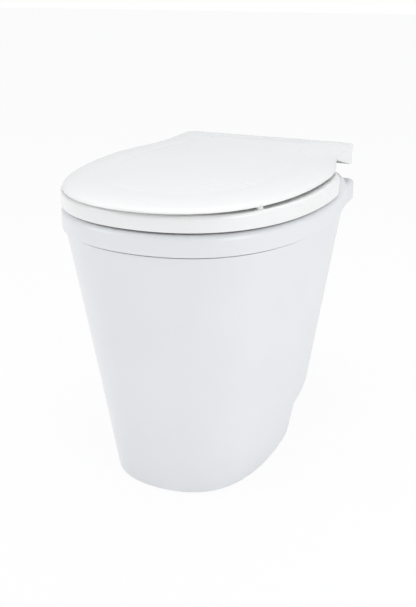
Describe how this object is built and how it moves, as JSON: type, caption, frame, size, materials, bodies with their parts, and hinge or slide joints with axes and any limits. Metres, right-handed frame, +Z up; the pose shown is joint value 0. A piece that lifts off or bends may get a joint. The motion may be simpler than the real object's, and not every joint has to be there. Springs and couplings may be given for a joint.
{
  "type": "waterless toilet",
  "caption": "Floor-standing dry toilet with hinged seat and lid, a urine-diverting bowl in a lift-off top, a lift-out solids container, a rear fan vent and a urine drain.",
  "frame": {"origin": "on the floor, at the middle of the overall plan", "axes": "+Z up, -Y to the front where the sitter faces, +X to the sitter's left hand, +Y out through the rear wall with the vent"},
  "size_m": [0.387, 0.554, 0.455],
  "materials": {
    "body_white": "satin, moulded, cool white",
    "seat_white": "smooth semi-gloss, neutral white",
    "bowl_white": "smooth gloss",
    "white_rubber": "soft matte white",
    "black_rubber": "matte",
    "grey_plastic": "matte pipe grey",
    "container_grey": "matte moulded",
    "black_plastic": "fine matte",
    "cable_black": "matte sleeve",
    "bright_steel": "stainless",
    "steel_mesh": "woven stainless wire"
  },
  "bodies": {
    "housing": {"housing": "body_white", "foot_pads": "black_rubber", "vent_collar": "grey_plastic", "vent_gasket": "black_rubber", "vent_screws": "bright_steel", "vent_nuts": "bright_steel", "fan_frame": "black_plastic", "insect_screen": "steel_mesh", "power_socket": "black_plastic", "power_socket_nut": "bright_steel", "fan_lead": "cable_black", "urine_pipe": "grey_plastic", "pipe_clips": "body_white", "urine_receiver": "grey_plastic", "urine_outlet": "grey_plastic", "outlet_gasket": "black_rubber", "outlet_nut": "grey_plastic"},
    "fan_rotor": {"fan_rotor": "black_plastic", "fan_shaft": "bright_steel"},
    "solids_container": {"solids_container": "container_grey"},
    "container_bail": {"container_bail": "bright_steel", "bail_grip": "black_plastic"},
    "top_section": {"top_section": "body_white", "diverter_bowl": "bowl_white", "bowl_seal": "white_rubber", "bowl_screws": "bright_steel", "urine_strainer": "bright_steel", "hinge_post_left": "body_white", "hinge_post_right": "body_white", "hinge_pins": "bright_steel", "hinge_bolts": "bright_steel", "hinge_washers": "bright_steel", "hinge_nuts": "bright_steel"},
    "seat": {"seat": "seat_white", "seat_bumpers": "white_rubber"},
    "lid": {"lid": "seat_white", "lid_bumpers": "white_rubber"}
  },
  "joints": [
    {"name": "fan_spin", "type": "hinge", "parent": "housing", "child": "fan_rotor", "pos_m": [0, 0.198, 0.296], "axis": [0, 1, 0], "continuous": true},
    {"name": "top_lift", "type": "slide", "parent": "housing", "child": "top_section", "axis": [0, 0, 1], "range_m": [0, 0.75]},
    {"name": "container_lift", "type": "slide", "parent": "housing", "child": "solids_container", "axis": [0, 0, 1], "range_m": [0, 0.376]},
    {"name": "bail_swing", "type": "hinge", "parent": "solids_container", "child": "container_bail", "pos_m": [0, -0.012, 0.234], "axis": [-1, 0, 0], "range_deg": [0, 90]},
    {"name": "seat_hinge", "type": "hinge", "parent": "top_section", "child": "seat", "pos_m": [0, 0.226, 0.426], "axis": [-1, 0, 0], "range_deg": [0, 95]},
    {"name": "lid_hinge", "type": "hinge", "parent": "seat", "child": "lid", "pos_m": [0, 0.226, 0.426], "axis": [-1, 0, 0], "range_deg": [0, 98]}
  ],
  "couplings": [
    {"joint": "container_lift", "follows": "top_lift", "ratio": 0.5},
    {"joint": "bail_swing", "follows": "top_lift", "rad_per_m": 2.09}
  ]
}
